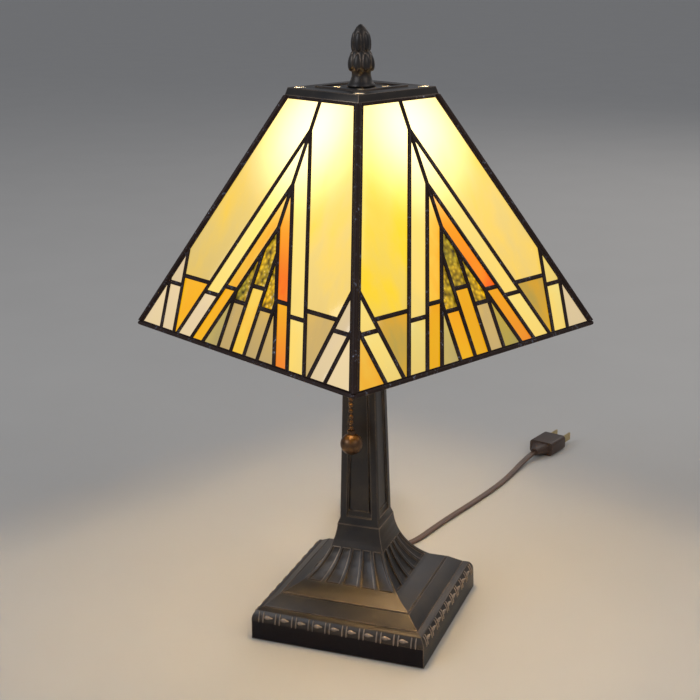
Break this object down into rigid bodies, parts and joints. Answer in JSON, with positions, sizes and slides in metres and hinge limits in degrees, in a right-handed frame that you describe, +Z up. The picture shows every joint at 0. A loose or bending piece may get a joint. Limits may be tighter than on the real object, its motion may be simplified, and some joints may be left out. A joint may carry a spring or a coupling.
{
  "type": "table lamp",
  "caption": "Table lamp: leaded art glass shade on a harp over a square tapered column and stepped foot, with bulb, pull-chain socket and flat cord with plug.",
  "frame": {"origin": "middle of the foot's underside, on the table", "axes": "+Z up along the column; the foot's sides lie along X and Y, its front and the pull chain face -Y, and the cord leaves towards +Y"},
  "size_m": [0.2746, 0.496, 0.3845],
  "materials": {
    "bronze_casting": "dark bronze, satin, rubbed lighter along its edges",
    "felt": "black felt",
    "steel_sheet": "zinc plated",
    "cast_iron": "rough",
    "harp_brass": "brassed wire, satin",
    "socket_brass": "brassed sheet, satin",
    "liner_card": "insulating card",
    "porcelain": "white, smooth",
    "phenolic": "dark moulded",
    "aluminium": "rolled",
    "antique_brass": "antique brass, satin",
    "bulb_glass": "frosted, lit warm white",
    "solder": "solder with a black-brown patina, half polished",
    "cream_glass": "opalescent, streaked, lit from inside",
    "amber_glass": "opalescent, streaked, lit from inside",
    "gold_glass": "hammered, lit from inside",
    "olive_glass": "opalescent, lit from inside",
    "brown_cord": "flexible vinyl, satin",
    "brown_plastic": "moulded vinyl",
    "tie_band": "paper-covered wire tie"
  },
  "bodies": {
    "lamp_base": {"foot_casting": "bronze_casting", "felt_pad": "felt", "bottom_plate": "steel_sheet", "ballast_weight": "cast_iron", "column_casting": "bronze_casting", "column_cap": "bronze_casting", "centre_pipe": "steel_sheet", "pipe_hardware": "steel_sheet", "harp_saddle": "steel_sheet", "harp_hoop": "harp_brass", "harp_crown": "harp_brass", "harp_stud": "harp_brass", "socket_cap": "socket_brass", "socket_shell": "socket_brass", "socket_liner": "liner_card", "socket_core": "porcelain", "screw_shell": "aluminium", "centre_contact": "socket_brass", "chain_spout": "socket_brass", "cord_bushing": "brown_plastic", "lead_wire": "brown_cord", "cord_start": "brown_cord", "cord_hank": "brown_cord", "cord_tie": "tie_band", "power_cord": "brown_cord", "plug_body": "brown_plastic", "plug_blades": "socket_brass"},
    "shade": {"shade_cap": "bronze_casting", "corner_seams": "solder", "bottom_rim": "solder", "solder_web_front": "solder", "solder_web_right": "solder", "solder_web_back": "solder", "solder_web_left": "solder", "field_panes": "cream_glass", "cream_long_panes": "cream_glass", "cream_short_panes": "cream_glass", "amber_long_panes": "amber_glass", "amber_short_panes": "amber_glass", "inner_gold_panes": "gold_glass", "inner_amber_panes": "amber_glass", "olive_panes": "olive_glass", "field_foot_panes": "amber_glass", "side_panes": "cream_glass", "corner_panes": "cream_glass", "heart_gold_panes": "gold_glass", "heart_amber_panes": "amber_glass"},
    "finial": {"finial": "bronze_casting"},
    "bulb": {"bulb_glass": "bulb_glass", "bulb_cap": "aluminium", "bulb_insulator": "porcelain", "bulb_contact": "socket_brass", "bulb_filament": "bulb_glass"},
    "pull_chain": {"chain_upper": "antique_brass", "chain_coupling": "antique_brass"},
    "chain_end": {"chain_lower": "antique_brass", "ball_pull": "antique_brass"},
    "harp_sleeve_right": {"harp_sleeve_right": "harp_brass"},
    "harp_sleeve_left": {"harp_sleeve_left": "harp_brass"},
    "switch_drum": {"switch_drum": "phenolic"}
  },
  "joints": [
    {"name": "shade_turn", "type": "hinge", "parent": "lamp_base", "child": "shade", "pos_m": [0, 0, 0.3467], "axis": [0, 0, 1], "continuous": true},
    {"name": "finial_turn", "type": "hinge", "parent": "lamp_base", "child": "finial", "pos_m": [0, 0, 0.348], "axis": [0, 0, 1], "continuous": true},
    {"name": "bulb_turn", "type": "hinge", "parent": "lamp_base", "child": "bulb", "pos_m": [0, 0, 0.2475], "axis": [0, 0, 1], "continuous": true},
    {"name": "pull_slide", "type": "slide", "parent": "lamp_base", "child": "pull_chain", "axis": [0, 0, -1], "range_m": [0, 0.008], "stiffness_N_per_m": 300, "springref_m": -0.003},
    {"name": "chain_swing", "type": "hinge", "parent": "pull_chain", "child": "chain_end", "pos_m": [0, -0.025, 0.2049], "axis": [1, 0, 0], "range_deg": [-60, 4]},
    {"name": "switch_turn", "type": "hinge", "parent": "lamp_base", "child": "switch_drum", "pos_m": [0, 0, 0.2376], "axis": [1, 0, 0], "range_deg": [0, 90]},
    {"name": "sleeve_lift_right", "type": "slide", "parent": "lamp_base", "child": "harp_sleeve_right", "axis": [0, 0, 1], "range_m": [0, 0.012]},
    {"name": "sleeve_lift_left", "type": "slide", "parent": "lamp_base", "child": "harp_sleeve_left", "axis": [0, 0, 1], "range_m": [0, 0.012]}
  ],
  "couplings": [
    {"joint": "switch_turn", "follows": "pull_slide", "rad_per_m": 196}
  ]
}
